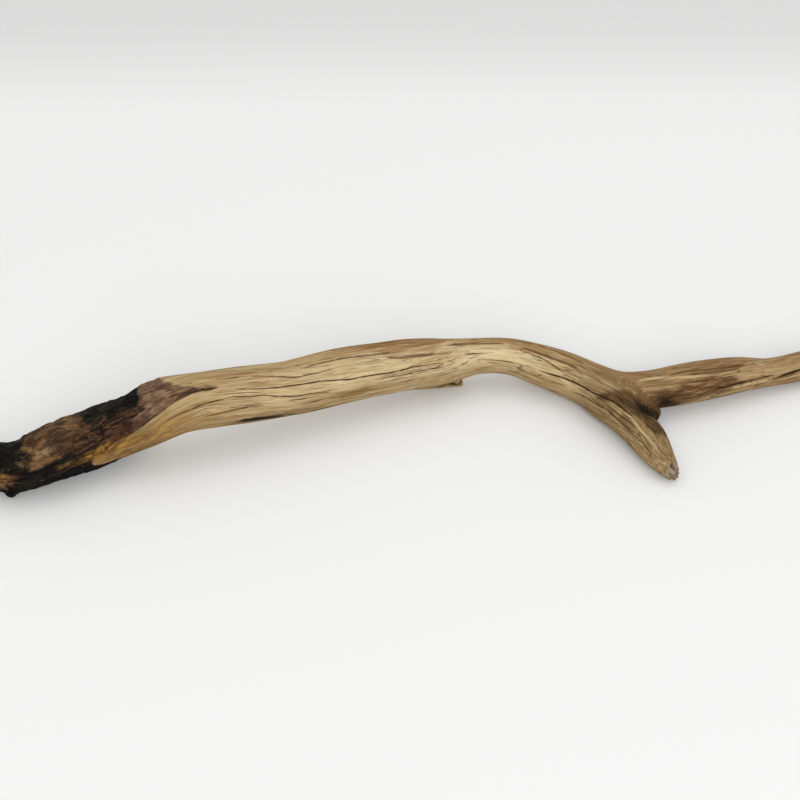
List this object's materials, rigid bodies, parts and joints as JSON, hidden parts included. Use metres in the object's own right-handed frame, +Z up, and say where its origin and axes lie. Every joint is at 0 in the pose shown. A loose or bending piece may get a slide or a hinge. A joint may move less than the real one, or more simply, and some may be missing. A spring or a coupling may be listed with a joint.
{
  "type": "piece of driftwood",
  "caption": "Weathered driftwood branch, bowed and forked, with a charred splintered butt, a long slender arm and a short blunt prong, lying on its low points.",
  "frame": {"origin": "under the middle of the piece's bounding box, on the ground it lies on", "axes": "+X along the length from the charred butt to the tip of the long arm, +Y away from the short prong, +Z up"},
  "size_m": [0.4586, 0.1194, 0.0408],
  "materials": {
    "weathered_wood": "dry, water-worn bare wood: tan with brown drying checks, charred near-black at the butt"
  },
  "bodies": {
    "root": {"driftwood": "weathered_wood"}
  },
  "joints": []
}
